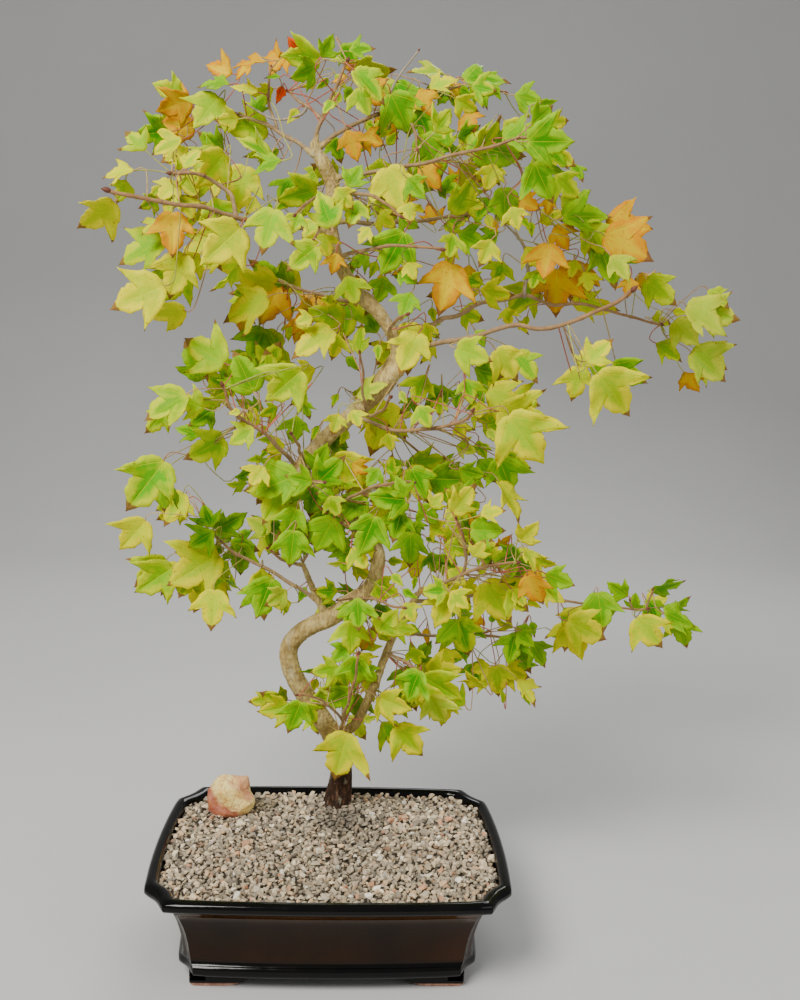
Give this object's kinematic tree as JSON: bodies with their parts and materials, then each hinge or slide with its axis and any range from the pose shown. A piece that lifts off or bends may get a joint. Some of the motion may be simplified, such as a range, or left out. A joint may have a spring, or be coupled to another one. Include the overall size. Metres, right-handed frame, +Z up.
{
  "type": "trident maple bonsai",
  "caption": "Trident maple bonsai with a winding trunk and three-lobed autumn leaves, in a black glazed rectangular pot with grit and a small stone.",
  "frame": {"origin": "middle of the whole tree's box in plan, on the surface that the pot's feet stand on", "axes": "+Z up, +Y away from the front of the pot, +X to the right as seen from the front"},
  "size_m": [0.6082, 0.312, 0.7792],
  "materials": {
    "glaze": "glossy black-brown ceramic glaze",
    "plastic_mesh": "matt",
    "soil": "damp bark and clay mix",
    "grit": "rough crushed stone",
    "stone": "rough natural stone",
    "bark": "rough bark",
    "foliage": "thin satin leaf on pink-brown stalks"
  },
  "bodies": {
    "root": {"pot": "glaze", "drain_screen_left": "plastic_mesh", "drain_screen_right": "plastic_mesh", "soil": "soil", "grit": "grit", "stone": "stone", "trunk": "bark", "spray_crown": "foliage", "spray_crown_right": "foliage", "spray_upper_right": "foliage", "spray_right_upper": "foliage", "spray_upper_front": "foliage", "spray_upper_low": "foliage", "spray_upper_left_front": "foliage", "spray_top_left": "foliage", "spray_left_branch": "foliage", "spray_left_upper": "foliage", "spray_left_mid": "foliage", "spray_centre_left": "foliage", "spray_centre_low": "foliage", "spray_centre": "foliage", "spray_centre_top": "foliage", "spray_right_mid": "foliage", "spray_right_back": "foliage", "spray_right_front": "foliage", "spray_mid_front": "foliage", "spray_low_front": "foliage", "spray_low_left": "foliage", "spray_low_left_inner": "foliage", "spray_low_centre": "foliage", "spray_right_low": "foliage", "spray_long_twig": "foliage", "spray_low_right": "foliage", "spray_second_stem": "foliage", "spray_bottom": "foliage"}
  },
  "joints": []
}
